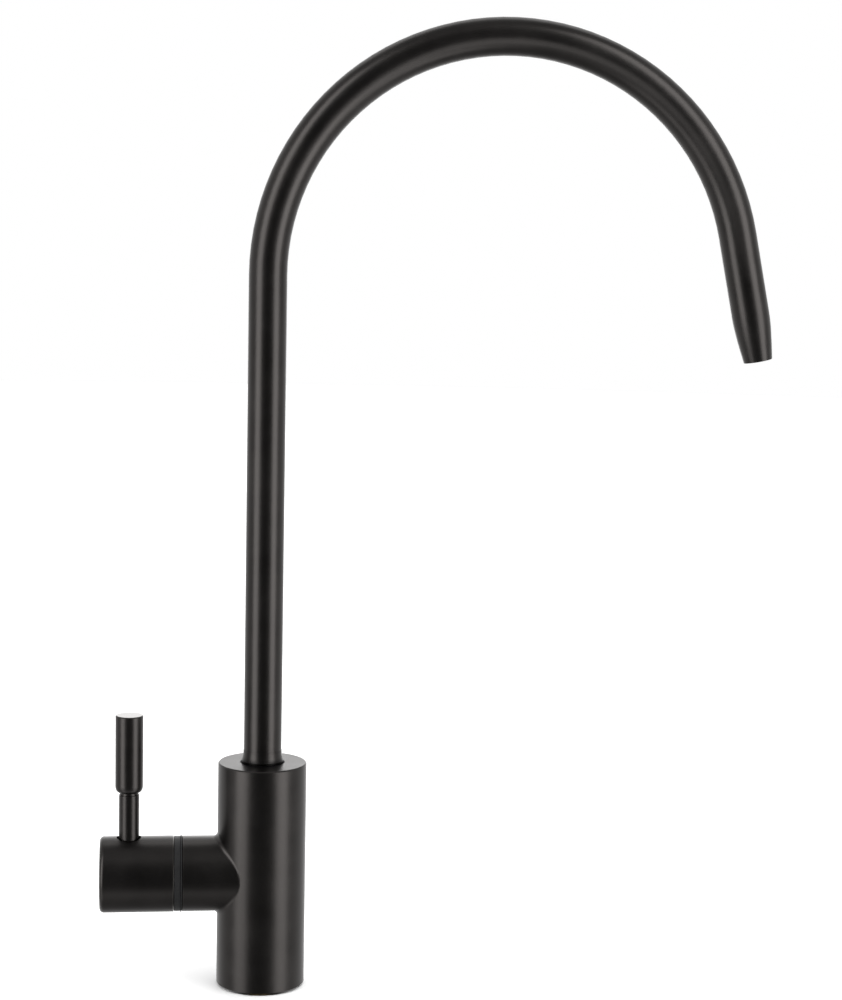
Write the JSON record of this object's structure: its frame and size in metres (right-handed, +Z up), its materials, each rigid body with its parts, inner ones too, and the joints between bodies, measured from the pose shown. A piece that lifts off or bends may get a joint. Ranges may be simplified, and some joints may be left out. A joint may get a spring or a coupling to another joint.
{
  "type": "drinking water filter tap",
  "caption": "Slim swan-neck drinking water tap on a round body, with a small side lever on a quarter-turn valve and a threaded shank for fixing through a worktop.",
  "frame": {"origin": "centre of the body's base face, where it stands on the worktop", "axes": "+Z up along the body and the spout's swivel axis; +X from the body towards the outlet at rest; the valve branch and its lever lie on the -X side"},
  "size_m": [0.2253, 0.03, 0.3782],
  "materials": {
    "black_metal": "satin near-black electroplated coating on brass and steel",
    "brass": "turned brass, bare",
    "steel": "zinc-plated steel",
    "screw_black": "black oxide steel",
    "rubber": "matt black rubber",
    "black_plastic": "matt black acetal",
    "white_plastic": "natural acetal",
    "ceramic": "lapped alumina"
  },
  "bodies": {
    "tap_body": {"body_housing": "black_metal", "base_o_ring": "rubber", "threaded_shank": "brass", "deck_rubber_washer": "rubber", "deck_metal_washer": "steel", "deck_nut": "steel", "spout_glide_ring": "black_plastic", "spout_thrust_washer": "white_plastic", "spout_lock_screw": "screw_black", "cartridge_housing": "brass", "cartridge_o_ring": "rubber", "disc_seal": "rubber", "fixed_ceramic_disc": "ceramic", "stem_glide_washer": "white_plastic", "bonnet_gasket": "black_plastic", "bonnet_ring": "black_plastic"},
    "handle": {"handle_hub": "black_metal", "valve_stem": "brass", "stem_o_rings": "rubber", "stem_circlip": "steel", "moving_ceramic_disc": "ceramic", "lever_rod": "black_metal", "lever_grip": "black_metal", "handle_grub_screw": "screw_black"},
    "spout": {"spout_tube": "black_metal", "spout_collar": "black_metal", "spout_base_sleeve": "brass", "spout_o_rings": "rubber"}
  },
  "joints": [
    {"name": "spout_swivel", "type": "hinge", "parent": "tap_body", "child": "spout", "pos_m": [0, 0, 0.0768], "axis": [0, 0, 1], "continuous": true},
    {"name": "handle_turn", "type": "hinge", "parent": "tap_body", "child": "handle", "pos_m": [-0.045, 0, 0.0385], "axis": [1, 0, 0], "range_deg": [0, 90]}
  ]
}
